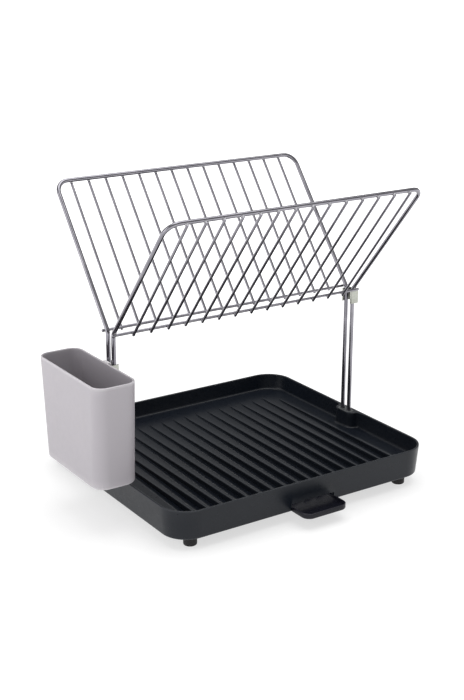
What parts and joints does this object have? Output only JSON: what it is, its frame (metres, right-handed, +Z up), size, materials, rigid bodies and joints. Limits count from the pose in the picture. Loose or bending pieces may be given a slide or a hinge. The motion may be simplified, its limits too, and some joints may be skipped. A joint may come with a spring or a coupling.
{
  "type": "drying rack",
  "caption": "Drying rack: a V-shaped chrome wire rack for plates or bottles stands in a ribbed drain tray with a pull-out spout, and a cup for cutlery hangs on one leg.",
  "frame": {"origin": "middle of the footprint of the whole object, on the surface that it stands on", "axes": "+X along the tray's front wall, away from the cup; +Y from the spout to the back wall; +Z up"},
  "size_m": [0.3958, 0.3376, 0.3515],
  "materials": {
    "tray_plastic": "fine satin texture",
    "spout_plastic": "semi-gloss",
    "socket_plastic": "satin",
    "foot_rubber": "matt",
    "wire_chrome": "polished",
    "clip_metal": "satin",
    "cup_plastic": "smooth satin"
  },
  "bodies": {
    "tray": {"drain_tray": "tray_plastic", "foot_front_left": "foot_rubber", "foot_front_right": "foot_rubber", "foot_back_left": "foot_rubber", "foot_back_right": "foot_rubber", "leg_socket_left": "socket_plastic", "leg_socket_right": "socket_plastic"},
    "spout": {"drain_spout": "spout_plastic"},
    "rack": {"front_frame": "wire_chrome", "back_frame": "wire_chrome", "front_rail": "wire_chrome", "back_rail": "wire_chrome", "front_wire_1": "wire_chrome", "front_wire_2": "wire_chrome", "front_wire_3": "wire_chrome", "front_wire_4": "wire_chrome", "front_wire_5": "wire_chrome", "front_wire_6": "wire_chrome", "front_wire_7": "wire_chrome", "front_wire_8": "wire_chrome", "front_wire_9": "wire_chrome", "front_wire_10": "wire_chrome", "front_wire_11": "wire_chrome", "front_wire_12": "wire_chrome", "front_wire_13": "wire_chrome", "front_wire_14": "wire_chrome", "back_wire_1": "wire_chrome", "back_wire_2": "wire_chrome", "back_wire_3": "wire_chrome", "back_wire_4": "wire_chrome", "back_wire_5": "wire_chrome", "back_wire_6": "wire_chrome", "back_wire_7": "wire_chrome", "back_wire_8": "wire_chrome", "back_wire_9": "wire_chrome", "back_wire_10": "wire_chrome", "back_wire_11": "wire_chrome", "back_wire_12": "wire_chrome", "back_wire_13": "wire_chrome", "back_wire_14": "wire_chrome", "leg_clip_left": "clip_metal", "leg_clip_right": "clip_metal"},
    "cup": {"cutlery_cup": "cup_plastic"}
  },
  "joints": [
    {"name": "rack_lift", "type": "slide", "parent": "tray", "child": "rack", "axis": [0, 0, 1], "range_m": [0, 0.05]},
    {"name": "cup_lift", "type": "slide", "parent": "rack", "child": "cup", "axis": [0, 0, 1], "range_m": [0, 0.03]},
    {"name": "spout_slide", "type": "slide", "parent": "tray", "child": "spout", "axis": [0, 1, 0], "range_m": [0, 0.02]}
  ]
}
